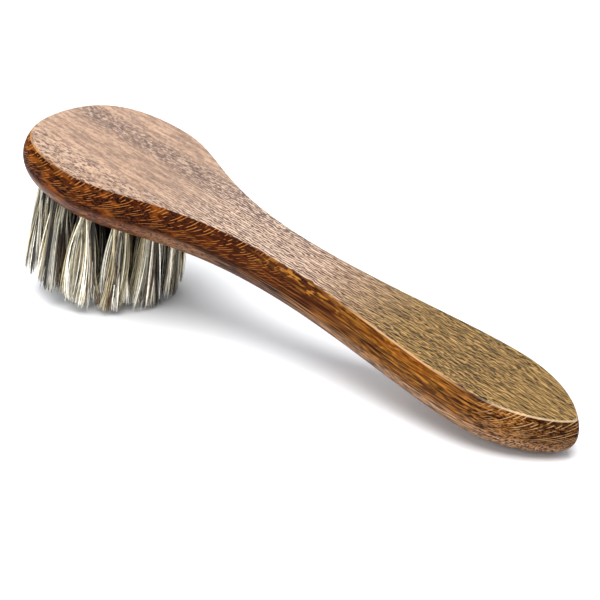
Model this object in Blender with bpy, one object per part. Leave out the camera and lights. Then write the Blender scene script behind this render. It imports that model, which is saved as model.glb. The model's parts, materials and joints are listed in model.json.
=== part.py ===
"""Shoe polish applicator brush.

A one-piece wooden body, head and handle in one board, stands on its bristle ends and
on the tip of its handle. Nineteen tufts of hair are each folded once, pushed fold
first into a hole drilled in the underside of the head, and pinned there by a wire
staple whose crown lies inside the fold and whose legs bite into the wood.

Units are metres, +Z is up, +X runs from the head to the tip of the handle. The pieces
are modelled in the board's own frame, with the flat top at z = 0 and the end of the
head at x = 0, and hang from one empty that holds them in the standing pose.
"""

import math
import random

import bmesh
import bpy
from mathutils import Matrix, Vector
from mathutils.geometry import interpolate_bezier

MM = 0.001

# Wooden body, seen from above, at the fullest line of its edge
TOTAL_LENGTH = 173.3 * MM
HEAD_WIDEST_AT = 27.0 * MM
HEAD_WIDTH = 48.0 * MM
WAIST_AT = 86.7 * MM
WAIST_WIDTH = 17.8 * MM
SWELL_FROM_TIP = 25.8 * MM
SWELL_WIDTH = 28.2 * MM

# Fullness of the outline's four curves: handle lengths as shares of each span
NOSE_FULLNESS = (0.54, 0.81)
SHOULDER_FULLNESS = (0.26, 0.59)
GRIP_FULLNESS = (0.39, 0.29)
TIP_FULLNESS = (0.64, 0.18)
OUTLINE_STEPS = (12, 12, 9, 11)

# Edge of the board: it swells out below the flat top, then rounds in to the underside
BOARD_THICKNESS = 12.6 * MM
FULLEST_BELOW_TOP = 4.8 * MM
TOP_EDGE_INSET = 1.5 * MM
TOP_EDGE_TIP_INSET = 1.8 * MM
SWELL_STEPS = 4
UNDERSIDE_INSET = 6.7 * MM
UNDERSIDE_TIP_INSET = 11.0 * MM
ROUND_STEPS = 6

# Holes for the tufts: one in the middle, then rings of six and of twelve
HOLE_RINGS = 2
RING_TURN = 0.7
HOLE_DIAMETER = 5.2 * MM
EDGE_TO_OUTER_HOLES = 6.6 * MM
WOOD_ABOVE_HOLES = 5.4 * MM
DRILL_POINT = 1.2 * MM
DRILL_RUN_OUT = 4.8 * MM
HOLE_SIDES = 12

# Staples: wire bent to a U, legs up into pits in the end of the hole
WIRE_DIAMETER = 0.7 * MM
STAPLE_BEND_RADIUS = 0.7 * MM
STAPLE_BEND_STEPS = 2
WIRE_ROUNDNESS = 1
LEG_BITE = 2.6 * MM
LEG_TO_HOLE_WALL = 0.45 * MM
FOLD_THICKNESS = 1.6 * MM
PIT_SIDES = 8

# Tufts: hair folded over the staple, then strands that fan out below the wood
FIT_GAP = 0.3 * MM
BRISTLE_LENGTH = 26.2 * MM
ENDS_INSIDE_EDGE = 1.4 * MM
ENDS_LEAN = 1.6 * MM
TUFT_SIDES = 12
ROOT_PROUD = 0.3 * MM
STRAND_SPACE = 0.26 * MM
TUFT_SPACE = 0.9 * MM
STRAND_TAPER = 0.6
END_SCATTER = 0.22 * MM
TRIM_SCATTER = 0.7 * MM
HAIR_SEED = 19

# Standing pose: how deep the lowest bristle ends are cut flat where the brush stands
STANDING_CUT = 0.5 * MM
FIRST_TILT = math.radians(12.0)
TILT_PASSES = 20

# Meshing: edges that stay sharp, and points close enough to be one
SHARP_FROM = math.radians(40.0)
SAME_POINT = 0.001 * MM

# The field of holes is concentric with the round end of the head
FIELD_AT = HEAD_WIDTH / 2

# Depths and reaches that follow from the sizes above
UNDERSIDE = -BOARD_THICKNESS
HOLE_SHOULDER = -WOOD_ABOVE_HOLES
OUTER_RING = HEAD_WIDTH / 2 - EDGE_TO_OUTER_HOLES
RING_STEP = OUTER_RING / HOLE_RINGS
WIRE_RADIUS = WIRE_DIAMETER / 2
LEG_OFFSET = HOLE_DIAMETER / 2 - LEG_TO_HOLE_WALL - WIRE_RADIUS
CROWN_AT = HOLE_SHOULDER - FOLD_THICKNESS
LEG_END = HOLE_SHOULDER + LEG_BITE
ROOT_RADIUS = HOLE_DIAMETER / 2 - FIT_GAP
FIELD_END_RADIUS = HEAD_WIDTH / 2 - ENDS_INSIDE_EDGE
SPLAY = (FIELD_END_RADIUS + TUFT_SPACE / 2) / (OUTER_RING + RING_STEP / 2)
TUFT_END_RADIUS = FIELD_END_RADIUS - SPLAY * OUTER_RING
TRIM_PLANE = UNDERSIDE - BRISTLE_LENGTH

LACQUERED_BEECH = ((0.335, 0.148, 0.056), 0.32, 0.0)
HORSEHAIR = ((0.510, 0.445, 0.330), 0.62, 0.0)
STEEL_WIRE = ((0.560, 0.550, 0.530), 0.35, 1.0)


def clear_scene():
    """Empty the scene."""
    for obj in list(bpy.data.objects):
        bpy.data.objects.remove(obj, do_unlink=True)


def make_material(name, finish):
    """A Principled material from a finish of colour, roughness and metallic value."""
    colour, roughness, metallic = finish
    material = bpy.data.materials.new(name)
    material.use_nodes = True
    shader = material.node_tree.nodes["Principled BSDF"]
    shader.inputs["Base Color"].default_value = (*colour, 1.0)
    shader.inputs["Roughness"].default_value = roughness
    shader.inputs["Metallic"].default_value = metallic
    material.diffuse_color = (*colour, 1.0)
    return material


def add_object(name, mesh, parent, location=(0.0, 0.0, 0.0)):
    """Link a mesh as an object under its parent."""
    obj = bpy.data.objects.new(name, mesh)
    bpy.context.collection.objects.link(obj)
    obj.parent = parent
    obj.location = location
    return obj


def mesh_from(bm, name):
    """Close a bmesh into a mesh with its faces pointing out, shaded smooth."""
    bmesh.ops.recalc_face_normals(bm, faces=bm.faces)
    mesh = bpy.data.meshes.new(name)
    bm.to_mesh(mesh)
    bm.free()
    mesh.shade_smooth()
    mesh.set_sharp_from_angle(angle=SHARP_FROM)
    return mesh


def cut_with(obj, cutter):
    """Take the cutter's shape away from an object."""
    cut = obj.modifiers.new("cut_" + cutter.name, "BOOLEAN")
    cut.operation = "DIFFERENCE"
    cut.object = cutter


def mark_as_cutter(obj):
    """Show a cutter as wire and keep it out of renders."""
    obj.hide_render = True
    obj.display_type = "WIRE"


def stitch(bm, ring, next_ring):
    """Join two rings of equal count with a band of quads."""
    count = len(ring)
    for i in range(count):
        j = (i + 1) % count
        bm.faces.new((ring[i], ring[j], next_ring[j], next_ring[i]))


def half_outline(inset, tip_inset):
    """The right-hand half of the plan outline, drawn inside the fullest one by an inset."""
    tip = TOTAL_LENGTH - tip_inset
    swell_at = TOTAL_LENGTH - SWELL_FROM_TIP
    head = HEAD_WIDTH / 2 - inset
    waist = WAIST_WIDTH / 2 - inset
    swell = SWELL_WIDTH / 2 - inset
    spans = (
        (NOSE_FULLNESS, (inset, 0.0), (HEAD_WIDEST_AT, head), True, False),
        (SHOULDER_FULLNESS, (HEAD_WIDEST_AT, head), (WAIST_AT, waist), False, False),
        (GRIP_FULLNESS, (WAIST_AT, waist), (swell_at, swell), False, False),
        (TIP_FULLNESS, (swell_at, swell), (tip, 0.0), False, True),
    )
    points = [Vector((inset, 0.0))]
    for (fullness, start, end, square_start, square_end), steps in zip(spans, OUTLINE_STEPS):
        start, end = Vector(start), Vector(end)
        span = end - start
        out = Vector((0.0, span.y)) if square_start else Vector((span.x, 0.0))
        back = Vector((0.0, span.y)) if square_end else Vector((span.x, 0.0))
        handles = (start + out * fullness[0], end - back * fullness[1])
        points.extend(interpolate_bezier(start, *handles, end, steps + 1)[1:])
    return points


def body_outline(inset, tip_inset):
    """The closed plan outline, drawn inside the fullest one by an inset."""
    side = half_outline(inset, tip_inset)
    return side + [Vector((point.x, -point.y)) for point in reversed(side[1:-1])]


def body_levels():
    """Insets and height of each ring of the body, from the top edge down to the underside.

    Above the fullest line the edge leans in as a parabola, below it as a quarter ellipse.
    """
    levels = []
    for step in range(SWELL_STEPS):
        depth = step / SWELL_STEPS
        share = (1 - depth) ** 2
        height = -FULLEST_BELOW_TOP * depth
        levels.append((TOP_EDGE_INSET * share, TOP_EDGE_TIP_INSET * share, height))
    for step in range(ROUND_STEPS + 1):
        angle = math.pi / 2 * step / ROUND_STEPS
        share = 1 - math.cos(angle)
        height = -FULLEST_BELOW_TOP + (UNDERSIDE + FULLEST_BELOW_TOP) * math.sin(angle)
        levels.append((UNDERSIDE_INSET * share, UNDERSIDE_TIP_INSET * share, height))
    return levels


def body_mesh():
    """The board of the head and handle, with its rounds, before any hole is drilled."""
    bm = bmesh.new()
    rings = []
    for inset, tip_inset, height in body_levels():
        outline = body_outline(inset, tip_inset)
        rings.append([bm.verts.new((point.x, point.y, height)) for point in outline])
    bm.faces.new(rings[0])
    for ring, next_ring in zip(rings, rings[1:]):
        stitch(bm, ring, next_ring)
    bm.faces.new(rings[-1])
    return mesh_from(bm, "wood_body")


def hole_centres():
    """Centres of the holes in the underside: the middle one, then ring after ring."""
    centres = [Vector((FIELD_AT, 0.0, 0.0))]
    for ring in range(1, HOLE_RINGS + 1):
        count = 6 * ring
        for i in range(count):
            angle = 2.0 * math.pi * (i + RING_TURN) / count
            reach = RING_STEP * ring
            centres.append(Vector((FIELD_AT + reach * math.cos(angle), reach * math.sin(angle), 0.0)))
    return centres


def turned_point(bm, radius, shoulder, mouth, point_depth, sides):
    """Walls of a turned pin with a conical end up at its shoulder; returns the rim at its mouth."""
    rings = []
    for height in (shoulder, mouth):
        ring = []
        for i in range(sides):
            angle = 2.0 * math.pi * i / sides
            ring.append(bm.verts.new((radius * math.cos(angle), radius * math.sin(angle), height)))
        rings.append(ring)
    stitch(bm, rings[0], rings[1])
    apex = bm.verts.new((0.0, 0.0, shoulder + point_depth))
    for i in range(sides):
        bm.faces.new((rings[0][i], apex, rings[0][(i + 1) % sides]))
    return rings[1]


def drill_mesh(centres):
    """The space that the drill clears: one pointed pin for each hole."""
    bm = bmesh.new()
    for centre in centres:
        start = len(bm.verts)
        mouth = UNDERSIDE - DRILL_RUN_OUT
        rim = turned_point(bm, HOLE_DIAMETER / 2, HOLE_SHOULDER, mouth, DRILL_POINT, HOLE_SIDES)
        bm.faces.new(rim)
        bm.verts.ensure_lookup_table()
        bmesh.ops.translate(bm, verts=bm.verts[start:], vec=centre)
    return mesh_from(bm, "drill")


def pit_mesh(centres):
    """The pits that the staple legs make above each hole."""
    bm = bmesh.new()
    start = CROWN_AT + WIRE_RADIUS
    end = LEG_END + FIT_GAP
    for centre in centres:
        for side in (-1, 1):
            place = Vector((centre.x, centre.y + side * LEG_OFFSET, (start + end) / 2))
            bmesh.ops.create_cone(
                bm,
                cap_ends=True,
                segments=PIT_SIDES,
                radius1=WIRE_RADIUS + FIT_GAP,
                radius2=WIRE_RADIUS + FIT_GAP,
                depth=end - start,
                matrix=Matrix.Translation(place),
            )
    return mesh_from(bm, "pits")


def staple_path(past_leg_end):
    """Centre line of the U: up one leg, round two bends and across the crown between them."""
    bend = min(STAPLE_BEND_RADIUS, LEG_OFFSET)
    path = [Vector((0.0, -LEG_OFFSET, LEG_END + past_leg_end))]
    for side in (-1, 1):
        corner = Vector((0.0, side * (LEG_OFFSET - bend), CROWN_AT + bend))
        for step in range(STAPLE_BEND_STEPS + 1):
            turn = math.pi / 2 * step / STAPLE_BEND_STEPS
            if side == 1:
                turn = math.pi / 2 - turn
            path.append(corner + bend * Vector((0.0, side * math.cos(turn), -math.sin(turn))))
    path.append(Vector((0.0, LEG_OFFSET, LEG_END + past_leg_end)))
    return path


def wire_mesh(name, path, radius):
    """A round wire along a path, as a closed mesh."""
    curve = bpy.data.curves.new(name + "_curve", "CURVE")
    curve.dimensions = "3D"
    curve.bevel_depth = radius
    curve.bevel_resolution = WIRE_ROUNDNESS
    curve.use_fill_caps = True
    spline = curve.splines.new("POLY")
    spline.points.add(len(path) - 1)
    for point, place in zip(spline.points, path):
        point.co = (*place, 1.0)
    carrier = bpy.data.objects.new(name + "_carrier", curve)
    bpy.context.collection.objects.link(carrier)
    bpy.context.view_layer.update()
    bm = bmesh.new()
    bm.from_mesh(bpy.data.meshes.new_from_object(carrier))
    bmesh.ops.remove_doubles(bm, verts=bm.verts, dist=SAME_POINT)
    bpy.data.objects.remove(carrier, do_unlink=True)
    return mesh_from(bm, name)


def staple_room_mesh(centres):
    """The room that each tuft leaves for its staple: the same wire, thicker by the fit gap."""
    room = wire_mesh("staple_room", staple_path(DRILL_POINT), WIRE_RADIUS + FIT_GAP)
    bm = bmesh.new()
    for centre in centres:
        start = len(bm.verts)
        bm.from_mesh(room)
        bm.verts.ensure_lookup_table()
        bmesh.ops.translate(bm, verts=bm.verts[start:], vec=centre)
    return mesh_from(bm, "staple_rooms")


def root_faces(bm, rim):
    """Close the mouth of a tuft's root with 24 even triangles, one for each strand."""
    level = rim[0].co.z
    middle = bm.verts.new((0.0, 0.0, level))
    inner = []
    for i in range(TUFT_SIDES // 2):
        half_way = rim[2 * i].co / 2
        inner.append(bm.verts.new((half_way.x, half_way.y, level)))
    faces = []
    for i in range(len(inner)):
        here, ahead = inner[i], inner[(i + 1) % len(inner)]
        near, between, far = rim[2 * i], rim[2 * i + 1], rim[(2 * i + 2) % TUFT_SIDES]
        faces.append(bm.faces.new((middle, here, ahead)))
        faces.append(bm.faces.new((here, near, between)))
        faces.append(bm.faces.new((here, between, ahead)))
        faces.append(bm.faces.new((ahead, between, far)))
    return faces


def height_when_standing(point, tilt, contact):
    """Height above the ground of a point given in the board's frame."""
    reach = point - contact
    return reach.z * math.cos(tilt) - reach.x * math.sin(tilt)


def trim_flat(root, end, tilt, contact):
    """Slide a strand's end back along the strand to the ground, if it would pass it."""
    low = height_when_standing(end, tilt, contact)
    if low >= 0.0:
        return end
    high = height_when_standing(root, tilt, contact)
    return root.lerp(end, high / (high - low))


def tuft_mesh(centre, tilt, contact, chance):
    """One tuft: its folded root in the hole and its strands, fanned out and trimmed."""
    bm = bmesh.new()
    mouth = UNDERSIDE - ROOT_PROUD
    rim = turned_point(bm, ROOT_RADIUS, HOLE_SHOULDER - FIT_GAP, mouth, DRILL_POINT, TUFT_SIDES)
    roots = root_faces(bm, rim)
    bmesh.ops.recalc_face_normals(bm, faces=bm.faces)
    bmesh.ops.inset_individual(bm, faces=roots, thickness=STRAND_SPACE / 2)
    strands = bmesh.ops.extrude_discrete_faces(bm, faces=roots)["faces"]
    field_middle = Vector((FIELD_AT, 0.0, 0.0))
    lean = Vector((ENDS_LEAN, 0.0, 0.0))
    tuft_end = field_middle + (centre - field_middle) * SPLAY + lean - centre
    widest = max(strand.calc_center_median().xy.length for strand in strands)
    fan = (TUFT_END_RADIUS - END_SCATTER) / widest
    for strand in strands:
        axis = strand.calc_center_median()
        swing = chance.uniform(0.0, 2.0 * math.pi)
        scatter = END_SCATTER * chance.random() * Vector((math.cos(swing), math.sin(swing), 0.0))
        end_axis = Vector((axis.x * fan, axis.y * fan, 0.0)) + tuft_end + scatter
        end_axis.z = TRIM_PLANE + TRIM_SCATTER * chance.random()
        for vert in strand.verts:
            root = vert.co.copy()
            end = end_axis + (root - axis) * STRAND_TAPER
            vert.co = trim_flat(root + centre, end + centre, tilt, contact) - centre
    return mesh_from(bm, "tuft")


def standing_contact(tilt):
    """Where the trimmed bristle field meets the ground, for a brush that leans by a tilt."""
    run = STANDING_CUT / math.sin(tilt)
    return Vector((FIELD_AT + ENDS_LEAN + FIELD_END_RADIUS - run, 0.0, TRIM_PLANE))


def standing_tilt(body):
    """The angle at which the brush tips over its bristle ends until the handle touches down."""
    tilt = FIRST_TILT
    handle = [vert.co for vert in body.vertices if vert.co.x > WAIST_AT]
    for _ in range(TILT_PASSES):
        contact = standing_contact(tilt)
        tilt = min(math.atan2(place.z - contact.z, place.x - contact.x) for place in handle)
    return tilt


def stand_pose(meshes_and_places, tilt, contact):
    """The matrix that tips the pieces and centres their box over the origin."""
    turn = Matrix.Rotation(tilt, 4, "Y")
    along = [(turn @ (vert.co + place)).x for mesh, place in meshes_and_places for vert in mesh.vertices]
    lift = -(turn @ contact).z
    return Matrix.Translation((-(min(along) + max(along)) / 2, 0.0, lift)) @ turn


def build_brush():
    """Build every piece and hang it from the standing empty."""
    wood = make_material("lacquered_beech", LACQUERED_BEECH)
    hair = make_material("horsehair", HORSEHAIR)
    steel = make_material("steel_wire", STEEL_WIRE)
    chance = random.Random(HAIR_SEED)

    stand = bpy.data.objects.new("stand", None)
    bpy.context.collection.objects.link(stand)

    body = add_object("wood_body", body_mesh(), stand)
    body.data.materials.append(wood)
    tilt = standing_tilt(body.data)
    contact = standing_contact(tilt)

    centres = hole_centres()
    drill = add_object("drill_cutter", drill_mesh(centres), stand)
    pits = add_object("pit_cutter", pit_mesh(centres), stand)
    staple_room = add_object("staple_room_cutter", staple_room_mesh(centres), stand)
    for cutter in (drill, pits, staple_room):
        mark_as_cutter(cutter)
    cut_with(body, drill)
    cut_with(body, pits)

    staple = wire_mesh("staple", staple_path(0.0), WIRE_RADIUS)
    staple.materials.append(steel)
    pieces = [(body.data, Vector())]
    for number, centre in enumerate(centres, start=1):
        mesh = tuft_mesh(centre, tilt, contact, chance)
        mesh.materials.append(hair)
        tuft = add_object(f"tuft_{number:02d}", mesh, stand, centre)
        cut_with(tuft, staple_room)
        add_object(f"staple_{number:02d}", staple, stand, centre)
        pieces.append((mesh, centre))

    stand.matrix_world = stand_pose(pieces, tilt, contact)
    bpy.context.view_layer.update()


clear_scene()
build_brush()
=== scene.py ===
"""Dressed model of a shoe polish applicator brush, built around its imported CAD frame.

The board is one piece of stained and lacquered beech. Nineteen tufts of horsehair are
folded over wire staples in holes drilled in the underside of its head. The board and
the hair are finer copies of their CAD solids, and the staples are the CAD solids.

Shapes are made in the board's own frame, with the flat top at z = 0 and the end of the
head at x = 0, and one matrix then stands them on the floor.
"""

import json
import logging
import math
import random
from dataclasses import dataclass, field
from enum import Enum

import bmesh
import bpy
from mathutils import Matrix, Vector
from mathutils.geometry import interpolate_bezier

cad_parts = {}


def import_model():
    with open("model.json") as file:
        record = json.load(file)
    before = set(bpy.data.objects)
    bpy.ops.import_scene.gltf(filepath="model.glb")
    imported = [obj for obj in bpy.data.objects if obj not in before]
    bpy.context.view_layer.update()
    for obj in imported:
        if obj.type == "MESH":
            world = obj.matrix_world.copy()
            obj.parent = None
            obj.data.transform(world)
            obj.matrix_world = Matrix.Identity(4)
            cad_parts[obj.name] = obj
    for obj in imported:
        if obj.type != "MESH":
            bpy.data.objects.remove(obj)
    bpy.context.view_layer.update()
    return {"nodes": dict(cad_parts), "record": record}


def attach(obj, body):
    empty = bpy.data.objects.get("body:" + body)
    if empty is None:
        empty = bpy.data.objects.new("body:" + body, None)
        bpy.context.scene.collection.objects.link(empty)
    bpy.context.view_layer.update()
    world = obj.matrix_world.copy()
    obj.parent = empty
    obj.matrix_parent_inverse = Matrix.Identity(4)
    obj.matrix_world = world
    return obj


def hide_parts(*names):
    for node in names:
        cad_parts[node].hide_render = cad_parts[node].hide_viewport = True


MM = 0.001
TONE = "hair_tone"
HAIR_SIDES = 4
LOG = logging.getLogger("applicator_brush")

# Scale at which Blender's wave texture draws one line for each unit of its vector
ONE_LINE = math.pi / 10

Colour = tuple[float, float, float, float]
Socket = bpy.types.NodeSocket
Source = bpy.types.Node | Socket  # a node stands for its first output
Paint = Socket | str  # a colour, as a socket or as sRGB hex


def linear(code: str) -> Colour:
    """Turn an sRGB hex colour into the linear colour that a shader takes.

    Args:
        code: The colour as "#RRGGBB".

    Returns:
        Linear red, green and blue, with an alpha of 1.
    """
    channels = [int(code[i : i + 2], 16) / 255 for i in (1, 3, 5)]
    red, green, blue = (
        c / 12.92 if c <= 0.04045 else ((c + 0.055) / 1.055) ** 2.4 for c in channels
    )
    return (red, green, blue, 1.0)


def add_object(name: str, data: bpy.types.ID, place: Matrix) -> bpy.types.Object:
    """Link new data as an object.

    Args:
        name: The object's name.
        data: Its mesh, light or camera.
        place: Its matrix.

    Returns:
        The new object.
    """
    item = bpy.data.objects.new(name, data)
    bpy.context.scene.collection.objects.link(item)
    item.matrix_world = place
    return item


def as_mesh(name: str, bm: bmesh.types.BMesh) -> bpy.types.Mesh:
    """Turn a bmesh into a mesh and free it.

    Args:
        name: The mesh's name.
        bm: The bmesh.

    Returns:
        The new mesh.
    """
    mesh = bpy.data.meshes.new(name)
    bm.to_mesh(mesh)
    bm.free()
    return mesh


# Finishes


class MaterialNodes:
    """A new material and the nodes that make it up."""

    def __init__(self, name: str) -> None:
        """Start the material with nothing but its output.

        Args:
            name: The material's name.
        """
        self.material = bpy.data.materials.new(name)
        self.material.use_nodes = True
        self.tree = self.material.node_tree
        self.tree.nodes.clear()
        self.output = self.add("OutputMaterial")

    def add(
        self, kind: str, inputs: dict[str | int, object] | None = None, **settings: object
    ) -> bpy.types.Node:
        """Add a node with its settings, and set or link its inputs.

        Args:
            kind: Blender's type name of the node, less its "ShaderNode".
            inputs: A value, or a source to link from, for each named or numbered input.
            settings: Properties of the node itself.

        Returns:
            The new node.
        """
        node = self.tree.nodes.new("ShaderNode" + kind)
        for name, value in settings.items():
            setattr(node, name, value)
        for name, value in (inputs or {}).items():
            if isinstance(value, bpy.types.Node):
                value = value.outputs[0]
            if isinstance(value, Socket):
                self.tree.links.new(value, node.inputs[name])
            else:
                node.inputs[name].default_value = value
        return node

    def board_place(self, stand: Matrix) -> Socket:
        """The shaded point in the board's own frame, in millimetres.

        Args:
            stand: The matrix that stands the board on the floor.

        Returns:
            The place along, across and up the board.
        """
        inputs = {
            "Vector": self.add("TexCoord").outputs["Object"],
            "Location": stand.to_translation(),
            "Rotation": stand.to_euler(),
            "Scale": (MM, MM, MM),
        }
        return self.add("Mapping", inputs, vector_type="TEXTURE").outputs[0]

    def closed(self, looks: dict[str, object]) -> bpy.types.Material:
        """Give the material its surface.

        Args:
            looks: Inputs of the surface's shader.

        Returns:
            The finished material.
        """
        shader = self.add("BsdfPrincipled", looks)
        self.tree.links.new(shader.outputs[0], self.output.inputs["Surface"])
        return self.material


class Zone(Enum):
    """Stretches of the board with a tone of their own.

    Each has an axis, along the board (0), across it (1) or up from its flat top (2), and
    the places in millimetres where its share is 0 and where it is 1. A band also has its
    middle, and its two places are then distances from there.
    """

    WAIST = (0, 34.0, 72.0)
    HEAD = (0, 100.0, 75.0)
    NOSE = (0, 34.0, 8.0)
    HANDLE = (0, 72.0, 100.0)
    TIP = (0, 80.0, 136.0)
    BUTT = (0, 130.0, 150.0)
    TIP_END = (0, 150.0, 160.0)
    POINT = (0, 158.0, 170.0)
    BELLY = (0, 16.0, 3.2, 60.0)
    NECK = (0, 40.0, 8.0, 85.0)
    GLOW = (0, 26.0, 5.2, 128.0)
    NEAR_SIDE = (1, -8.0, -15.0)
    STREAK = (1, 6.5, 1.3, 8.0)
    EDGE = (2, -0.02, -0.16)
    ARRIS = (2, -0.5, -0.3)
    BROW = (2, -3.6, -2.2)
    LOW = (2, -3.6, -7.4)
    UPPER_EDGE = (2, -7.2, -5.2)
    UNDER = (2, -6.0, -8.6)


@dataclass(frozen=True)
class Grain:
    """One scale of the wood's figure, drawn out along the fibres.

    Attributes:
        length_mm: Size of the figure along the fibres.
        width_mm: Size across the board.
        depth_mm: Size through the board.
        seed: Shift that sets this figure apart from the others.
        detail: How many finer layers it holds.
    """

    length_mm: float
    width_mm: float
    depth_mm: float
    seed: float
    detail: float = 0.0


@dataclass(frozen=True)
class Stain:
    """One stain, which lies where a figure is strong.

    Attributes:
        colour: Its colour.
        marks: The figure's strength, or the zone that the stain fills.
        most: Its greatest share.
        span: Strength where it starts and where it is full.
        zones: Zones outside which there is none.
    """

    colour: Paint
    marks: Source | Zone
    most: float
    span: tuple[float, float] = (0.0, 1.0)
    zones: tuple[Source | Zone, ...] = ()


class BoardNodes(MaterialNodes):
    """The nodes of a material that is drawn in the board's own frame."""

    # How far a seed of 1 moves a figure, in the figure's own sizes
    seed_step: tuple[float, float, float] = (17.3, 5.1, 9.7)

    def __init__(self, name: str, stand: Matrix) -> None:
        """Find the place on the board and its share of each zone, soft at the borders.

        Args:
            name: The material's name.
            stand: The matrix that stands the board on the floor.
        """
        super().__init__(name)
        self.mm = self.board_place(stand)
        self.axes = self.add("SeparateXYZ", {0: self.mm}).outputs
        self.zones: dict[Zone, bpy.types.Node] = {}
        for zone in Zone:
            axis, outside, inside, *middle = zone.value
            place = self.axes[axis]
            for centre in middle:
                offset = self.add("Math", {0: place, 1: centre}, operation="SUBTRACT")
                place = self.add("Math", {0: offset}, operation="ABSOLUTE")
            self.zones[zone] = self.add(
                "MapRange",
                {"Value": place, "From Min": outside, "From Max": inside},
                interpolation_type="SMOOTHSTEP",
            )

    def scaled(self, grain: Grain, place: Source | None = None) -> Source:
        """A place measured in the sizes of one grain.

        Args:
            grain: The grain.
            place: The place in millimetres, if not the board's own.

        Returns:
            The place, moved on by the grain's seed.
        """
        inputs = {
            0: self.mm if place is None else place,
            1: (1 / grain.length_mm, 1 / grain.width_mm, 1 / grain.depth_mm),
            2: tuple(step * grain.seed for step in self.seed_step),
        }
        return self.add("VectorMath", inputs, operation="MULTIPLY_ADD")

    def figure(self, grain: Grain, place: Source | None = None) -> Source:
        """The strength of one scale of the wood's figure.

        Args:
            grain: The scale.
            place: The place in millimetres, if not the board's own.

        Returns:
            The strength, from 0 to 1 about 0.5.
        """
        place = self.scaled(grain, place)
        inputs = {"Vector": place, "Scale": 1.0, "Detail": grain.detail}
        return self.add("TexNoise", inputs)

    def flecked(self, grain: Grain) -> Source:
        """Short flecks that lie apart on the flat top, some long and some small.

        Args:
            grain: How far apart they lie.

        Returns:
            The strength: above 0 in a fleck, and highest at its middle.
        """
        place = {"Vector": self.scaled(grain), "Scale": 1.0}
        cells = self.add("TexVoronoi", place, voronoi_dimensions="2D").outputs
        return self.add(
            "Math", {0: cells["Color"], 1: cells["Distance"]}, operation="SUBTRACT"
        )

    def lined(self, grain: Grain) -> Source:
        """Wavering lines that lie close side by side along the fibres.

        Args:
            grain: How long they run straight and how far apart they lie.

        Returns:
            The strength, from 0 between the lines to 1 in them.
        """
        inputs = {
            "Vector": self.scaled(grain),
            "Scale": ONE_LINE,
            "Distortion": 7.0,
            "Detail": 3.0,
            "Detail Scale": 1 / ONE_LINE,
        }
        return self.add("TexWave", inputs, bands_direction="Y").outputs["Fac"]

    def stained(self, ground: Paint, stains: tuple[Stain, ...]) -> Socket:
        """Lay stains over the ground, one after the other.

        Args:
            ground: The colour below.
            stains: The stains, the lowest first.

        Returns:
            The stained colour.
        """
        for stain in stains:
            marks, *zones = (
                self.zones[place] if isinstance(place, Zone) else place
                for place in (stain.marks, *stain.zones)
            )
            start, full = stain.span
            spread = {"From Min": start, "From Max": full, "To Max": stain.most}
            share = self.add(
                "MapRange", {"Value": marks, **spread}, interpolation_type="SMOOTHSTEP"
            )
            for zone in zones:
                share = self.add("Math", {0: share, 1: zone}, operation="MULTIPLY")
            below, above = (
                linear(paint) if isinstance(paint, str) else paint
                for paint in (ground, stain.colour)
            )
            mixed = self.add("Mix", {0: share, 6: below, 7: above}, data_type="RGBA")
            ground = mixed.outputs[2]
        return ground


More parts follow.
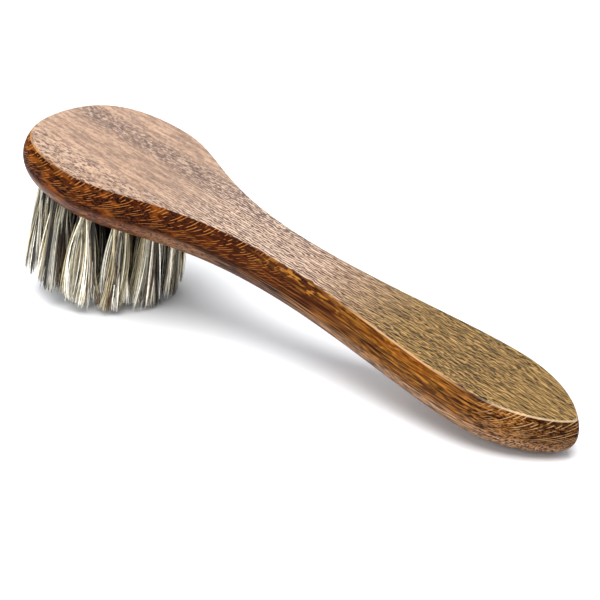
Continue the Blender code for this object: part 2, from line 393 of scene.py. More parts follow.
@dataclass(frozen=True)
class StainedLacqueredBeech:
    """Beech, sawn and sanded, stained walnut brown, dipped in clear gloss lacquer.

    To the eye that gives a warm ground with fine dark dashes where the stain sits in
    the pores, deep amber where the edge cuts across the fibres, thin golden lines where
    it cuts the rays, and a white sheen from the lacquer over the flat top. Painted light
    is laid into the colour too: a painted reflection of the pale floor makes the lower
    side and the underside paler, and painted highlights run along the arris.
    """

    top_mid: str = "#7A5A41"
    top_light: str = "#AA8567"
    top_glint: str = "#C2A890"
    top_dark: str = "#573722"
    tip_mid: str = "#412B16"
    tip_light: str = "#523A1D"
    tip_glint: str = "#B08A4A"
    pore: str = "#43200C"
    tip_pore: str = "#1C1005"
    edge_dark: str = "#120502"
    edge_brown: str = "#451B05"
    edge_amber: str = "#84430E"
    edge_orange: str = "#8E4E0E"
    edge_gold: str = "#B07428"
    edge_tan: str = "#8B5828"
    # Painted reflection: this pale tone lightens the lower side near the butt and the
    # underside of the belly, standing for the pale floor seen in the lacquer
    low_edge_floor_reflection: str = "#8F6648"
    ray: str = "#AC6C32"
    # Arris lines: the gold one is partly the arris rubbed lighter and partly a painted
    # highlight, and it also colours the ray lines at the tip end; the pale one is a
    # painted highlight, the lacquer's reflection of the lights on the small round of the
    # arris
    arris_gold: str = "#BC9468"
    arris_painted_highlight: str = "#DCC29C"
    # Underside colours: partly the wood's own brown and partly a painted reflection of
    # the pale floor, which makes the lower round paler and mauve, and paler tan at the
    # grip
    under: str = "#58301C"
    grip_under_and_floor_reflection: str = "#C0946A"

    # Beech pores and rays are 0.05 to 0.5 mm wide: the finest marks are drawn 0.26 mm
    # wide, because narrower ones would not show
    roughness: Grain = Grain(2.0, 0.26, 0.26, 3.0)
    dashes: Grain = Grain(3.6, 0.3, 0.3, 5.0)
    specks: Grain = Grain(1.5, 0.6, 1.0, 12.0)
    sparks: Grain = Grain(1.8, 0.6, 1.0, 16.0)
    pores: Grain = Grain(2.1, 0.85, 3.0, 4.0)
    grip_pores: Grain = Grain(1.5, 0.68, 3.0, 8.0)
    blots: Grain = Grain(3.0, 0.7, 0.7, 11.0, 1.0)
    fibres: Grain = Grain(6.5, 1.0, 1.0, 1.0, 3.0)
    bands: Grain = Grain(70.0, 7.0, 7.0, 2.0, 2.0)
    clouds: Grain = Grain(9.0, 2.0, 2.0, 6.0, 3.0)

    # The layers of growth lie flat in the board: its sides show them as long thin lines
    layers: Grain = Grain(10.0, 1.6, 0.34, 7.0, 1.0)
    threads: Grain = Grain(8.0, 1.3, 0.3, 15.0)

    # Ray lines on the edge: how far apart, how they lean at the top and bend below it
    ray_step_mm: float = 1.15
    ray_lean: float = 0.5
    ray_bend: float = 0.2
    ray_runs: Grain = Grain(1.5, 3.0, 1.3, 9.0, 1.0)

    # Lacquer is rubbed thin on the upper edge and lies thicker on top and below
    coat_top: float = 0.7
    coat_edge: float = 0.03
    coat_under: float = 0.3
    relief_mm: float = 0.05

    def material(self, stand: Matrix) -> bpy.types.Material:
        """Build the lacquered wood.

        Args:
            stand: The matrix that stands the board on the floor.

        Returns:
            The material, patterned in the board's own frame.
        """
        board = BoardNodes("stained_lacquered_beech", stand)
        fibres = board.figure(self.fibres)
        colour = {
            0: board.zones[Zone.EDGE],
            6: self.top_colour(board, fibres),
            7: self.edge_colour(board),
        }
        coat = self.coat_top
        for zone, weight in ((Zone.EDGE, self.coat_edge), (Zone.UNDER, self.coat_under)):
            coat = board.add("Mix", {0: board.zones[zone], 2: coat, 3: weight})
        rough = board.figure(self.roughness)
        relief = board.add("Math", {0: rough, 1: fibres}, operation="ADD")
        bump = board.add(
            "Bump", {"Height": relief, "Strength": 0.25, "Distance": self.relief_mm * MM}
        )
        return board.closed(
            {
                "Base Color": board.add("Mix", colour, data_type="RGBA").outputs[2],
                "Roughness": 0.6,
                "IOR": 1.5,
                "Specular IOR Level": 0.02,
                "Coat Weight": coat,
                "Coat Roughness": 0.12,
                "Coat IOR": 1.5,
                "Normal": bump,
                "Coat Normal": bump,
            }
        )

    def top_colour(self, board: BoardNodes, fibres: Source) -> Socket:
        """Colour of the flat top, sawn along the fibres.

        Args:
            board: The wood's nodes.
            fibres: Strength of the fibre bundles.

        Returns:
            The colour.
        """
        bands = board.figure(self.bands)
        specks = board.flecked(self.specks)
        sparks = board.flecked(self.sparks)
        pores = board.lined(self.pores)
        grip_pores = board.lined(self.grip_pores)
        pore, mid, light, glint = (
            board.stained(head, (Stain(tip, Zone.TIP, 1.0),))
            for head, tip in (
                (self.pore, self.tip_pore),
                (self.top_mid, self.tip_mid),
                (self.top_light, self.tip_light),
                (self.top_glint, self.tip_glint),
            )
        )
        worn = board.add(
            "Math",
            {0: board.zones[Zone.NEAR_SIDE], 1: board.zones[Zone.STREAK]},
            operation="MAXIMUM",
        )
        marked = board.add("MapRange", {"Value": worn, "To Min": 0.35, "To Max": 0.9})
        return board.stained(
            mid,
            (
                Stain(light, fibres, 1.0, (0.32, 0.68)),
                Stain(self.top_dark, bands, 0.45, (0.5, 0.7)),
                Stain(self.top_dark, Zone.STREAK, 0.6, zones=(Zone.HEAD,)),
                Stain(glint, pores, 0.85, (0.42, 0.16), (Zone.WAIST,)),
                Stain(glint, sparks, 0.5, (0.14, 0.36), (marked, Zone.HEAD)),
                Stain(pore, specks, 1.0, (0.14, 0.36), (marked, Zone.HEAD)),
                Stain(pore, pores, 1.0, (0.52, 0.8), (Zone.WAIST,)),
                Stain(glint, Zone.TIP_END, 0.3),
                Stain(glint, grip_pores, 0.85, (0.28, 0.12), (Zone.TIP,)),
                Stain(pore, grip_pores, 1.0, (0.36, 0.66), (Zone.TIP,)),
            ),
        )

    def edge_colour(self, board: BoardNodes) -> Socket:
        """Colour of the rounded edge and the underside.

        Args:
            board: The wood's nodes.

        Returns:
            The colour.
        """
        clouds = board.figure(self.clouds)
        layers = board.figure(self.layers)
        threads = board.figure(self.threads)
        dashes = board.figure(self.dashes)
        blots = board.figure(self.blots)
        rays = self.ray_lines(board)
        soft, sharp, wide, thin = (0.48, 0.6), (0.54, 0.66), (0.42, 0.6), (0.0, 0.8)
        high_neck = (Zone.BROW, Zone.NECK, Zone.HANDLE)
        return board.stained(
            self.edge_dark,
            (
                Stain(self.edge_brown, dashes, 1.0, (0.42, 0.62)),
                Stain(self.edge_amber, clouds, 0.7, (0.5, 0.72)),
                Stain(self.edge_orange, clouds, 0.65, wide, (Zone.NOSE, Zone.BROW)),
                Stain(self.edge_tan, layers, 0.9, (0.32, 0.58), (Zone.HANDLE,)),
                Stain(self.edge_orange, Zone.BROW, 0.6, zones=(Zone.GLOW,)),
                Stain(self.edge_gold, layers, 0.7, sharp, (Zone.GLOW, Zone.UPPER_EDGE)),
                # Painted reflection of the pale floor: the lower side and the underside
                # are painted paler, the grip's with its growth lines
                Stain(self.low_edge_floor_reflection, blots, 0.9, (0.36, 0.54), (Zone.BUTT, Zone.LOW)),
                Stain(self.under, Zone.UNDER, 0.85),
                Stain(self.low_edge_floor_reflection, Zone.UNDER, 0.6, zones=(Zone.BELLY,)),
                Stain(self.grip_under_and_floor_reflection, layers, 1.0, (0.3, 0.6), (Zone.UNDER, Zone.TIP)),
                Stain(self.edge_dark, dashes, 0.8, (0.52, 0.66), (Zone.UNDER,)),
                Stain(self.edge_tan, blots, 0.5, (0.5, 0.34), (Zone.UNDER,)),
                Stain(self.edge_gold, threads, 0.35, (0.42, 0.34), (Zone.HANDLE,)),
                Stain(self.edge_dark, threads, 0.5, soft, (Zone.HANDLE,)),
                Stain(self.edge_dark, threads, 0.95, soft, (Zone.NECK,)),
                Stain(self.edge_dark, dashes, 0.5, soft, (Zone.GLOW,)),
                Stain(self.edge_dark, blots, 0.45, soft, (Zone.GLOW,)),
                Stain(self.edge_dark, dashes, 0.8, soft, (Zone.BUTT,)),
                Stain(self.edge_brown, Zone.NECK, 0.5, zones=(Zone.UPPER_EDGE,)),
                Stain(self.edge_dark, Zone.BROW, 0.4, zones=(Zone.NECK,)),
                Stain(self.edge_gold, blots, 0.75, sharp, high_neck),
                Stain(self.edge_dark, Zone.POINT, 0.5, zones=(Zone.UPPER_EDGE,)),
                Stain(self.ray, rays, 0.85, thin, (Zone.HEAD, Zone.UPPER_EDGE)),
                Stain(self.arris_gold, rays, 0.85, thin, (Zone.TIP_END, Zone.UPPER_EDGE)),
                # Painted highlights along the arris, standing for the lacquer's
                # reflection of the lights; at the nose the arris is partly rubbed lighter
                # too
                Stain(self.arris_gold, Zone.ARRIS, 0.5, zones=(Zone.NOSE,)),
                Stain(self.arris_gold, Zone.ARRIS, 0.75, zones=(Zone.GLOW,)),
                Stain(self.arris_painted_highlight, Zone.ARRIS, 0.5, zones=(Zone.TIP_END,)),
            ),
        )

    def ray_lines(self, board: BoardNodes) -> Source:
        """Thin broken lines where the edge cuts the rays, bent over below the arris.

        Args:
            board: The wood's nodes.

        Returns:
            The lines' strength, from 0 to 1.
        """
        along, _, up = board.axes
        lean = {0: up, 1: self.ray_bend, 2: -self.ray_lean}
        bend = {0: up, 1: board.add("Math", lean, operation="MULTIPLY_ADD"), 2: along}
        across = board.add("Math", bend, operation="MULTIPLY_ADD")
        bent = board.add("CombineXYZ", {0: across, 2: up})
        inputs = {
            "Vector": bent,
            "Scale": ONE_LINE / self.ray_step_mm,
            "Distortion": 5.0,
            "Detail": 1.0,
            "Detail Scale": 0.5,
        }
        waves = board.add("TexWave", inputs, bands_direction="X").outputs["Fac"]
        lines = board.add("MapRange", {"Value": waves, "From Min": 0.82, "From Max": 1.0})
        runs = board.figure(self.ray_runs, bent)
        shown = board.add(
            "MapRange",
            {"Value": runs, "From Min": 0.43, "From Max": 0.58},
            interpolation_type="SMOOTHSTEP",
        )
        return board.add("Math", {0: lines, 1: shown}, operation="MULTIPLY")


class HairShade(Enum):
    """The natural colours in a mix of horsehair.

    Each has a root and an end colour, a share of the mix, and whether it is a dark one.
    The darker root colour is painted shade near the wood, and the lighter end colour is
    painted light on the ends.
    """

    CREAM = ("#E2D9BC", "#FFFAEC", 0.42, False)
    STRAW = ("#AE9B70", "#E4D7AE", 0.18, False)
    GREY = ("#6E6553", "#A99D84", 0.12, True)
    BROWN = ("#2F2318", "#6B543D", 0.11, True)
    BLACK = ("#100D0B", "#2A2420", 0.13, True)


@dataclass(frozen=True)
class Horsehair:
    """Washed and combed tail hair: smooth, slightly flattened, with a dull satin gloss.

    It stands so close that little light comes in between the roots. Its colour holds
    painted shade and light for that: the roots are painted dark towards the middle of the
    field, and the ends are painted bright.
    """

    shade: HairShade
    field_middle_mm: float = 24.0
    roots_at_mm: float = -12.6
    ends_at_mm: float = -38.0
    spots_per_mm: float = 0.9
    light_by_depth: float = -0.8
    roughness: float = 0.42

    def material(self, stand: Matrix) -> bpy.types.Material:
        """Build the hair of one shade.

        Args:
            stand: The matrix that stands the board on the floor.

        Returns:
            The material.
        """
        hair = MaterialNodes("horsehair_" + self.shade.name.lower())
        mm = hair.board_place(stand)
        depth = hair.add("SeparateXYZ", {0: mm}).outputs[2]
        # Painted shade and light: the colour runs from the darker root colour near the
        # wood to the lighter end colour
        along = hair.add(
            "MapRange",
            {"Value": depth, "From Min": self.roots_at_mm, "From Max": self.ends_at_mm},
        )
        root, end = (linear(code) for code in self.shade.value[:2])
        colour = hair.add("Mix", {0: along, 6: root, 7: end}, data_type="RGBA").outputs[2]
        spots = hair.add(
            "TexNoise", {"Vector": mm, "Scale": self.spots_per_mm, "Detail": 2.0}
        )
        spread = {"From Min": 0.3, "From Max": 0.7, "To Min": 0.8, "To Max": 1.15}
        value = hair.add("MapRange", {"Value": spots, **spread})
        out = hair.add(
            "VectorMath",
            {0: mm, 1: (1.0, 1.0, 0.0), 2: (-self.field_middle_mm, 0.0, 0.0)},
            operation="MULTIPLY_ADD",
        )
        reach = hair.add("VectorMath", {0: out}, operation="LENGTH").outputs["Value"]
        open_air = hair.add(
            "Math", {0: depth, 1: self.light_by_depth, 2: reach}, operation="MULTIPLY_ADD"
        )
        # Painted shade: the hair is painted nearly black at the roots in the middle of
        # the field, and lighter further out and further down
        painted_root_shade = hair.add(
            "MapRange",
            {"Value": open_air, "From Min": 23.0, "From Max": 32.0, "To Min": 0.03},
            interpolation_type="SMOOTHSTEP",
        )
        tone = hair.add("Attribute", attribute_name=TONE).outputs["Fac"]
        for share in (tone, painted_root_shade):
            value = hair.add("Math", {0: value, 1: share}, operation="MULTIPLY")
        shaded = hair.add("HueSaturation", {"Value": value, "Color": colour})
        return hair.closed(
            {
                "Base Color": shaded,
                "Roughness": self.roughness,
                "IOR": 1.55,
                "Specular IOR Level": 0.35,
            }
        )


@dataclass(frozen=True)
class DrawnSteelWire:
    """Plain steel wire, drawn through a die: fine lines and a grey satin gloss."""

    colour: str = "#C2BFB9"
    roughness: float = 0.32
    roughness_swing: float = 0.1
    line_mm: float = 0.05

    def material(self) -> bpy.types.Material:
        """Build the wire's metal.

        Returns:
            The material.
        """
        wire = MaterialNodes("drawn_steel_wire")
        inputs = {
            "Vector": wire.add("TexCoord").outputs["Object"],
            "Scale": 1 / (self.line_mm * MM),
            "Detail": 2.0,
        }
        rough = {
            "Value": wire.add("TexNoise", inputs),
            "To Min": self.roughness - self.roughness_swing,
            "To Max": self.roughness + self.roughness_swing,
        }
        return wire.closed(
            {
                "Base Color": linear(self.colour),
                "Metallic": 1.0,
                "Roughness": wire.add("MapRange", rough),
            }
        )


@dataclass(frozen=True)
class MattPaper:
    """Matt white background paper: an even pale ground with no gloss of its own."""

    colour: str = "#F4F4F4"

    def material(self) -> bpy.types.Material:
        """Build the paper.

        Returns:
            The material.
        """
        looks = {"Roughness": 0.9, "Specular IOR Level": 0.1}
        return MaterialNodes("matt_paper").closed(
            {"Base Color": linear(self.colour), **looks}
        )


# Sub-assemblies


@dataclass(frozen=True)
class StandingPose:
    """How the brush stands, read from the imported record's one mount."""

    mount_name: str = "flat_back"
    mount_from_head_end: float = 24.0 * MM

    def matrix(self, record: dict) -> Matrix:
        """Find the matrix from the board's own frame to the row frame.

        Args:
            record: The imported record.

        Returns:
            The standing matrix.
        """
        mount = next(m for m in record["mounts"] if m["name"] == self.mount_name)
        up = Vector(mount["axis"]).normalized()
        across = Vector((0.0, 1.0, 0.0))
        along = across.cross(up)
        turn = Matrix((along, across, up)).transposed().to_4x4()
        origin = Vector(mount["pos_m"]) - along * self.mount_from_head_end
        return Matrix.Translation(origin) @ turn


@dataclass(frozen=True)
class DrillPattern:
    """The holes for the tufts: one in the middle and two rings, as in the CAD part."""

    field_at: float = 24.0 * MM
    ring_step: float = 8.7 * MM
    rings: int = 2
    first_ring: int = 6
    turn: float = 0.7
    hole_diameter: float = 5.2 * MM
    shoulder: float = -5.4 * MM
    point: float = 1.2 * MM

    def centres(self) -> list[Vector]:
        """Centres of the holes, in the order of the CAD nodes.

        Returns:
            One point for each hole, at the height of the flat top.
        """
        places = [Vector((self.field_at, 0.0, 0.0))]
        for ring in range(1, self.rings + 1):
            count = self.first_ring * ring
            reach = self.ring_step * ring
            for i in range(count):
                angle = 2 * math.pi * (i + self.turn) / count
                x = self.field_at + reach * math.cos(angle)
                places.append(Vector((x, reach * math.sin(angle), 0.0)))
        return places


@dataclass
class Board:
    """Head and handle in one board, with its rounded edge and its drilled underside."""

    holes: DrillPattern
    stand: Matrix
    length: float = 173.3 * MM
    head_widest_at: float = 27.0 * MM
    head_width: float = 48.0 * MM
    waist_at: float = 86.7 * MM
    waist_width: float = 17.8 * MM
    swell_from_tip: float = 25.8 * MM
    swell_width: float = 28.2 * MM

    # Nose, shoulder, grip and tip: how full each curve is at its ends, and its steps
    curves: tuple[tuple[float, float, int], ...] = (
        (0.54, 0.81, 44),
        (0.26, 0.59, 66),
        (0.39, 0.29, 66),
        (0.64, 0.18, 40),
    )

    thickness: float = 12.6 * MM
    fullest_below_top: float = 4.8 * MM
    top_inset: float = 1.5 * MM
    top_tip_inset: float = 1.8 * MM
    under_inset: float = 6.7 * MM
    under_tip_inset: float = 11.0 * MM
    arris: float = 0.42 * MM
    arris_steps: int = 5
    swell_steps: int = 8
    round_steps: int = 14
    rim: float = 0.15 * MM

    drill_sides: int = 40
    drill_overrun: float = 2 * MM
    pit_sides: int = 16
    pit_radius: float = 0.65 * MM
    pit_offset: float = 1.8 * MM
    pit_end: float = -2.5 * MM
    pit_overlap: float = 0.6 * MM
    sharp_from_deg: float = 35.0

    def outline(self, inset: float, tip_inset: float) -> list[Vector]:
        """The closed plan outline, drawn inside the fullest one.

        Args:
            inset: How far inside it lies along the head and the sides.
            tip_inset: How far inside it lies at the tip.

        Returns:
            Points round the outline.
        """
        tip = self.length - tip_inset
        swell_at = self.length - self.swell_from_tip
        head, waist, swell = (
            width / 2 - inset
            for width in (self.head_width, self.waist_width, self.swell_width)
        )
        ends = (
            Vector((inset, 0.0)),
            Vector((self.head_widest_at, head)),
            Vector((self.waist_at, waist)),
            Vector((swell_at, swell)),
            Vector((tip, 0.0)),
        )
        side = [ends[0]]
        for start, end, (first, last, steps) in zip(ends, ends[1:], self.curves):
            span = end - start
            flat = Vector((span.x, 0.0))
            square = Vector((0.0, span.y))
            out = square if start is ends[0] else flat
            back = square if end is ends[-1] else flat
            points = interpolate_bezier(
                start, start + out * first, end - back * last, end, steps + 1
            )
            side.extend(points[1:])
        return side + [Vector((p.x, -p.y)) for p in reversed(side[1:-1])]

    def levels(self) -> list[tuple[float, float, float]]:
        """Side inset, tip inset and height of each ring, from the top to the underside.

        Returns:
            One entry for each ring.
        """
        tip_share = self.top_tip_inset / self.top_inset
        rings = []
        depth = self.arris / self.fullest_below_top
        start = (self.top_inset + self.arris, 0.0)
        corner = (self.top_inset, 0.0)
        end = (self.top_inset * (1 - depth) ** 2, -self.arris)
        rings.append((start[0] + self.rim, 0.0))
        for step in range(self.arris_steps + 1):
            t = step / self.arris_steps
            weights = ((1 - t) ** 2, 2 * t * (1 - t), t * t)
            rings.append(
                tuple(
                    sum(w * p[axis] for w, p in zip(weights, (start, corner, end)))
                    for axis in (0, 1)
                )
            )
        for step in range(1, self.swell_steps):
            share = depth + (1 - depth) * step / self.swell_steps
            inset = self.top_inset * (1 - share) ** 2
            rings.append((inset, -self.fullest_below_top * share))
        levels = [(inset, inset * tip_share, height) for inset, height in rings]
        below = self.thickness - self.fullest_below_top
        for step in range(self.round_steps + 1):
            angle = math.pi / 2 * step / self.round_steps
            share = 1 - math.cos(angle)
            height = -self.fullest_below_top - below * math.sin(angle)
            inset, tip_inset = self.under_inset * share, self.under_tip_inset * share
            levels.append((inset, tip_inset, height))
        levels.append((inset + self.rim, tip_inset + self.rim, height))
        return levels

    def blank(self) -> bpy.types.Mesh:
        """The shaped board before it is drilled.

        Returns:
            A closed mesh.
        """
        bm = bmesh.new()
        rings = []
        for inset, tip_inset, height in self.levels():
            outline = self.outline(inset, tip_inset)
            rings.append([bm.verts.new((p.x, p.y, height)) for p in outline])
        bm.faces.new(rings[0])
        for upper, lower in zip(rings, rings[1:]):
            for i in range(len(upper)):
                j = (i + 1) % len(upper)
                bm.faces.new((upper[i], upper[j], lower[j], lower[i]))
        bm.faces.new(rings[-1])
        bmesh.ops.recalc_face_normals(bm, faces=bm.faces)
        return as_mesh("beech_board", bm)

    def cutters(self) -> bpy.types.Mesh:
        """The holes as the drill cuts them, with their points.

        Returns:
            A mesh of closed pins.
        """
        bm = bmesh.new()
        shoulder = self.holes.shoulder
        mouth = -self.thickness - self.drill_overrun
        radius = self.holes.hole_diameter / 2
        angles = [2 * math.pi * i / self.drill_sides for i in range(self.drill_sides)]
        circle = [(radius * math.cos(turn), radius * math.sin(turn)) for turn in angles]
        for centre in self.holes.centres():
            upper, lower = (
                [bm.verts.new((centre.x + x, centre.y + y, height)) for x, y in circle]
                for height in (shoulder, mouth)
            )
            apex = bm.verts.new((centre.x, centre.y, shoulder + self.holes.point))
            for i in range(self.drill_sides):
                j = (i + 1) % self.drill_sides
                bm.faces.new((upper[i], upper[j], lower[j], lower[i]))
                bm.faces.new((upper[i], apex, upper[j]))
            bm.faces.new(lower)
        bmesh.ops.recalc_face_normals(bm, faces=bm.faces)
        return as_mesh("drill", bm)

    def pits(self) -> bpy.types.Mesh:
        """The pits that the staple legs make above the holes.

        Returns:
            A mesh of closed pins.
        """
        bm = bmesh.new()
        start = self.holes.shoulder - self.pit_overlap
        middle = (start + self.pit_end) / 2
        for centre in self.holes.centres():
            for side in (-1, 1):
                place = (centre.x, centre.y + side * self.pit_offset, middle)
                bmesh.ops.create_cone(
                    bm,
                    cap_ends=True,
                    segments=self.pit_sides,
                    radius1=self.pit_radius,
                    radius2=self.pit_radius,
                    depth=self.pit_end - start,
                    matrix=Matrix.Translation(place),
                )
        return as_mesh("pits", bm)

    def build(self, finish: StainedLacqueredBeech) -> bpy.types.Object:
        """Build the board, drill it, dress it and let it stand for its CAD node.

        Args:
            finish: The wood's finish.

        Returns:
            The finished piece.
        """
        level = Matrix.Identity(4)
        board = add_object("beech_board", self.blank(), level)
        for name, mesh in (("drill", self.cutters()), ("pits", self.pits())):
            cut = board.modifiers.new(name, "BOOLEAN")
            cut.operation = "DIFFERENCE"
            cut.object = add_object(name, mesh, level)
        bpy.context.view_layer.update()
        shaped = board.evaluated_get(bpy.context.evaluated_depsgraph_get())
        mesh = bpy.data.meshes.new_from_object(shaped)
        board.modifiers.clear()
        board.data = mesh
        mesh.transform(self.stand)
        for name in ("drill", "pits"):
            bpy.data.objects.remove(bpy.data.objects[name], do_unlink=True)
        mesh.materials.clear()
        mesh.materials.append(finish.material(self.stand))
        mesh.shade_smooth()
        mesh.set_sharp_from_angle(angle=math.radians(self.sharp_from_deg))
        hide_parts("wood_body")
        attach(board, "root")
        return board


@dataclass
class HairMesh:
    """The hairs of one tuft, with the number of the shade and the tone of each face."""

    verts: list[Vector] = field(default_factory=list)
    faces: list[tuple[int, ...]] = field(default_factory=list)
    shades: list[int] = field(default_factory=list)
    tones: list[float] = field(default_factory=list)

    def add_hair(
        self,
        path: list[Vector],
        radii: list[float],
        twist: float,
        shade: int,
        tone: float,
    ) -> None:
        """Add one hair as a tube with closed ends.

        Args:
            path: Points along the hair.
            radii: Its radius at each point.
            twist: How far its sides are turned about it.
            shade: The number of its shade.
            tone: How light it is.
        """
        first = len(self.verts)
        side: Vector | None = None
        for number, point in enumerate(path):
            ahead = path[min(number + 1, len(path) - 1)]
            along = (ahead - path[max(number - 1, 0)]).normalized()
            if side is None:
                side = along.orthogonal().normalized()
            else:
                side = (side - along * side.dot(along)).normalized()
            other = along.cross(side)
            for corner in range(HAIR_SIDES):
                angle = twist + 2 * math.pi * corner / HAIR_SIDES
                out = side * math.cos(angle) + other * math.sin(angle)
                self.verts.append(point + out * radii[number])
        last = len(self.verts) - HAIR_SIDES
        faces = []
        for ring in range(first, last, HAIR_SIDES):
            for corner in range(HAIR_SIDES):
                a, b = ring + corner, ring + (corner + 1) % HAIR_SIDES
                faces.append((a, b, b + HAIR_SIDES, a + HAIR_SIDES))
        faces.append(tuple(reversed(range(first, first + HAIR_SIDES))))
        faces.append(tuple(range(last, last + HAIR_SIDES)))
        self.faces.extend(faces)
        self.shades.extend([shade] * len(faces))
        self.tones.extend([tone] * len(faces))


@dataclass
class HairTufts:
    """Bundles of horsehair, each rising from inside its hole and fanned out below the
    wood.

    The hair is drawn coarser than the real 0.15 mm, with fewer hairs in each bundle.
    """

    holes: DrillPattern
    stand: Matrix
    underside: float = -12.6 * MM
    trim_plane: float = -38.8 * MM
    above_floor: float = 0.05 * MM
    field_limit: float = 19.0 * MM
    field_room: float = 3.7 * MM
    root_radius: float = 2.15 * MM
    end_radius: float = 4.3 * MM
    splay: float = 1.0598
    lean: float = 1.6 * MM
    fold_at: float = -7.4 * MM
    locks: int = 24
    hairs_in_lock: int = 13
    lock_radius: float = 0.46 * MM
    hair_radius: float = 0.17 * MM
    tip_radius: float = 0.06 * MM
    taper_from: float = 0.7
    taper_length: float = 0.3
    taper_curve: float = 1.5
    spread_curve: float = 1.25
    steps: int = 8

    # What chance adds, in the order of the draws: to a lock, then to each of its hairs
    seed: int = 47
    darkness_range: tuple[float, float] = (0.3, 2.4)
    lock_turn: float = 0.2
    lock_drift_mm: float = 1.1
    lock_bow_mm: float = 0.7
    lock_shorter_mm: float = 0.6
    lock_pinch: tuple[float, float] = (0.6, 2.0)
    lock_tone: tuple[float, float] = (0.55, 1.25)
    lock_fan: float = 1.6
    stray_share: float = 0.06
    stray_mm: float = 1.8
    hair_spread_mm: float = 0.5
    hair_shorter_mm: float = 0.9
    hair_wave_mm: float = 0.3
    odd_shade_share: float = 0.25
    hair_tone: tuple[float, float] = (0.3, 1.6)
    chance: random.Random = field(init=False)

    def __post_init__(self) -> None:
        """Seed the one source of chance."""
        self.chance = random.Random(self.seed)

    def pick_shade(self, darkness: float) -> int:
        """Draw a shade by its share of the mix.

        Args:
            darkness: How far the tuft leans to the dark shades, about 1.

        Returns:
            The shade's place in the list of materials.
        """
        shares = []
        for shade in HairShade:
            _, _, share, dark = shade.value
            shares.append(share * (darkness if dark else 1.0))
        return self.chance.choices(range(len(shares)), shares)[0]

    def sideways(self, spread: float) -> Vector:
        """A level step by chance, about as long as the spread."""
        return Vector((self.chance.gauss(0, spread), self.chance.gauss(0, spread), 0.0))

    def held_in(self, point: Vector) -> Vector:
        """Keep a point of a hair within the round field, as its neighbours press it in.

        Args:
            point: The point.

        Returns:
            The point, moved in the more the further out it lay.
        """
        depth = (self.underside - point.z) / (self.underside - self.trim_plane)
        out = point - Vector((self.holes.field_at + self.lean * depth, 0.0, point.z))
        beyond = max(0.0, out.length - self.field_limit)
        back = beyond - self.field_room * (1 - math.exp(-beyond / self.field_room))
        return point - out.normalized() * back

    def to_floor(self, root: Vector, end: Vector) -> Vector:
        """Cut a hair short where it would pass through the floor.

        Args:
            root: Where the hair leaves the wood.
            end: Where it would end.

        Returns:
            Its end, on or above the floor.
        """
        low = (self.stand @ end).z - self.above_floor
        if low >= 0:
            return end
        high = (self.stand @ root).z
        return root.lerp(end, high / (high - low))

    def build_tuft(self, centre: Vector) -> HairMesh:
        """Lay out the hairs of one tuft.

        Args:
            centre: The middle of its hole.

        Returns:
            The hairs.
        """
        hairs = HairMesh()
        middle = Vector((self.holes.field_at, 0.0, 0.0))
        offset = (centre - middle) * (self.splay - 1) + Vector((self.lean, 0.0, 0.0))
        golden = math.pi * (3 - math.sqrt(5))
        darkness = self.chance.uniform(*self.darkness_range)
        for lock in range(self.locks):
            reach = math.sqrt((lock + 0.5) / self.locks)
            angle = golden * lock + self.chance.uniform(-self.lock_turn, self.lock_turn)
            spot = Vector((math.cos(angle), math.sin(angle), 0.0)) * reach
            shade = self.pick_shade(darkness)
            drift = self.sideways(self.lock_drift_mm) * MM
            bow = self.sideways(self.lock_bow_mm) * MM
            shorter = abs(self.chance.gauss(0, self.lock_shorter_mm)) * MM
            pinch = self.chance.uniform(*self.lock_pinch)
            tone = self.chance.uniform(*self.lock_tone)
            for _ in range(self.hairs_in_lock):
                turn = self.chance.uniform(0, 2 * math.pi)
                away = math.sqrt(self.chance.random()) * self.lock_radius
                aside = Vector((math.cos(turn), math.sin(turn), 0.0)) * away
                root = centre + spot * self.root_radius + aside
                root.z = self.underside
                end = centre + offset + spot * self.end_radius
                end = end + drift + aside * pinch * self.lock_fan
                stray = self.chance.random() < self.stray_share
                spread = self.stray_mm if stray else self.hair_spread_mm
                end += self.sideways(1.0) * spread * MM
                shortened = abs(self.chance.gauss(0, self.hair_shorter_mm)) * MM
                end.z = self.trim_plane + shorter + shortened
                end = self.to_floor(root, end)
                path = [Vector((root.x, root.y, self.fold_at))]
                radii = [self.hair_radius]
                wave = self.sideways(self.hair_wave_mm) * MM
                for step in range(self.steps + 1):
                    t = step / self.steps
                    point = root.lerp(end, t)
                    flat = (end - root) * (t**self.spread_curve - t)
                    flat.z = 0
                    point += flat + (bow + wave) * math.sin(math.pi * t)
                    path.append(self.held_in(point))
                    thin = max(0.0, (t - self.taper_from) / self.taper_length)
                    loss = (self.tip_radius - self.hair_radius) * thin**self.taper_curve
                    radii.append(self.hair_radius + loss)
                odd = self.chance.random() < self.odd_shade_share
                own = self.pick_shade(darkness) if odd else shade
                twist = self.chance.uniform(0, math.pi / 2)
                own_tone = tone * self.chance.uniform(*self.hair_tone)
                hairs.add_hair(path, radii, twist, own, own_tone)
        return hairs

    def build(self) -> list[bpy.types.Object]:
        """Build every tuft and let each stand for its CAD node.

        Returns:
            The finished pieces.
        """
        materials = [Horsehair(shade).material(self.stand) for shade in HairShade]
        pieces = []
        for number, centre in enumerate(self.holes.centres(), start=1):
            hairs = self.build_tuft(centre)
            mesh = bpy.data.meshes.new(f"hair_tuft_{number:02d}")
            mesh.from_pydata(hairs.verts, [], hairs.faces)
            for material in materials:
                mesh.materials.append(material)
            mesh.polygons.foreach_set("material_index", hairs.shades)
            tones = mesh.attributes.new(TONE, "FLOAT", "FACE").data
            tones.foreach_set("value", hairs.tones)
            mesh.shade_smooth()
            mesh.transform(self.stand)
            piece = add_object(mesh.name, mesh, Matrix.Identity(4))
            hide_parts(f"tuft_{number:02d}")
            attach(piece, "root")
            pieces.append(piece)
        return pieces


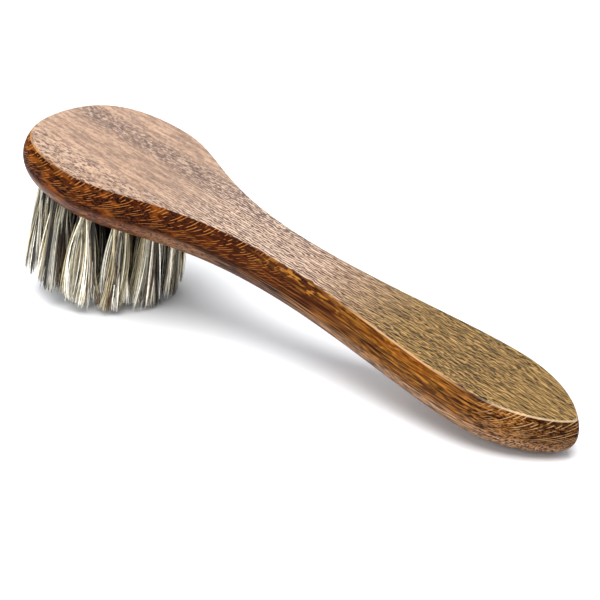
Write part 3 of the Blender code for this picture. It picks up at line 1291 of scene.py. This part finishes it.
@dataclass
class Staples:
    """The wire staples, which are the CAD solids with the wire's finish."""

    count: int = 19

    def dress(self, nodes: dict[str, bpy.types.Object], finish: DrawnSteelWire) -> None:
        """Give each staple the wire's finish.

        Args:
            nodes: The frame's nodes by name.
            finish: The wire's finish.
        """
        metal = finish.material()
        for number in range(1, self.count + 1):
            for place in nodes[f"staple_{number:02d}"].material_slots:
                place.material = metal


@dataclass
class Studio:
    """Pale floor, soft lights and the camera at the photograph's viewing angle."""

    camera_at_mm: tuple[float, float, float] = (264.04, -334.11, 208.95)
    azimuth_deg: float = 37.859
    elevation_deg: float = 24.476
    roll_deg: float = 1.495
    lens_mm: float = 109.646
    sensor_mm: float = 36.0
    near_clip: float = 0.01
    far_clip: float = 20.0
    floor_size: float = 8.0
    sky: str = "#E9F0FA"
    sky_strength: float = 0.6

    # Each light's name, its place and its side in metres, and its power in watts
    lights: tuple[tuple[str, tuple[float, float, float], float, float], ...] = (
        ("overhead_softbox", (0.1, -0.3, 1.45), 1.3, 37.0),
        ("front_softbox", (-0.25, -1.4, 0.45), 1.3, 9.5),
        ("back_left_softbox", (-0.95, 1.0, 0.85), 0.9, 3.5),
    )

    def add_camera(self) -> None:
        """Make the camera, as solved from the drawn edges of the object."""
        place = Matrix.Translation(Vector(self.camera_at_mm) * MM)
        for degrees, axis in (
            (self.azimuth_deg, "Z"),
            (90.0 - self.elevation_deg, "X"),
            (self.roll_deg, "Z"),
        ):
            place @= Matrix.Rotation(math.radians(degrees), 4, axis)
        data = bpy.data.cameras.new("camera")
        data.lens = self.lens_mm
        data.sensor_width = self.sensor_mm
        data.clip_start = self.near_clip
        data.clip_end = self.far_clip
        bpy.context.scene.camera = add_object("camera", data, place)

    def add_floor(self) -> None:
        """Lay the floor of matt paper."""
        half = self.floor_size / 2
        mesh = bpy.data.meshes.new("floor")
        mesh.from_pydata(
            [(-half, -half, 0), (half, -half, 0), (half, half, 0), (-half, half, 0)],
            [],
            [(0, 1, 2, 3)],
        )
        mesh.materials.append(MattPaper().material())
        floor = add_object("floor", mesh, Matrix.Identity(4))

    def add_light(
        self, name: str, place: tuple[float, float, float], size: float, power: float
    ) -> None:
        """Hang a square soft light that faces the middle of the brush.

        Args:
            name: The light's name.
            place: Where it hangs, in metres.
            size: Its side, in metres.
            power: Its power, in watts.
        """
        data = bpy.data.lights.new(name, "AREA")
        data.shape = "SQUARE"
        data.size = size
        data.energy = power
        away = Vector(place)
        facing = away.to_track_quat("Z", "Y").to_matrix().to_4x4()
        add_object(name, data, Matrix.Translation(away) @ facing)

    def build(self) -> None:
        """Set up the floor, the sky, the lights and the camera."""
        world = bpy.data.worlds.new("studio")
        world.use_nodes = True
        ground = world.node_tree.nodes["Background"]
        ground.inputs["Color"].default_value = linear(self.sky)
        ground.inputs["Strength"].default_value = self.sky_strength
        bpy.context.scene.world = world
        bpy.context.scene.view_settings.view_transform = "Standard"
        self.add_floor()
        for light in self.lights:
            self.add_light(*light)
        self.add_camera()


def main() -> None:
    """Load the frame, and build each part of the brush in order."""
    logging.basicConfig(level=logging.INFO, format="%(message)s")
    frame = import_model()
    stand = StandingPose().matrix(frame["record"])
    holes = DrillPattern()

    Studio().build()
    board = Board(holes, stand).build(StainedLacqueredBeech())
    LOG.info("%s: %d faces", board.name, len(board.data.polygons))
    for tuft in HairTufts(holes, stand).build():
        LOG.info("%s: %d faces", tuft.name, len(tuft.data.polygons))
    Staples().dress(frame["nodes"], DrawnSteelWire())
    LOG.info("staples: wire finish set")


if __name__ == "__main__":
    main()
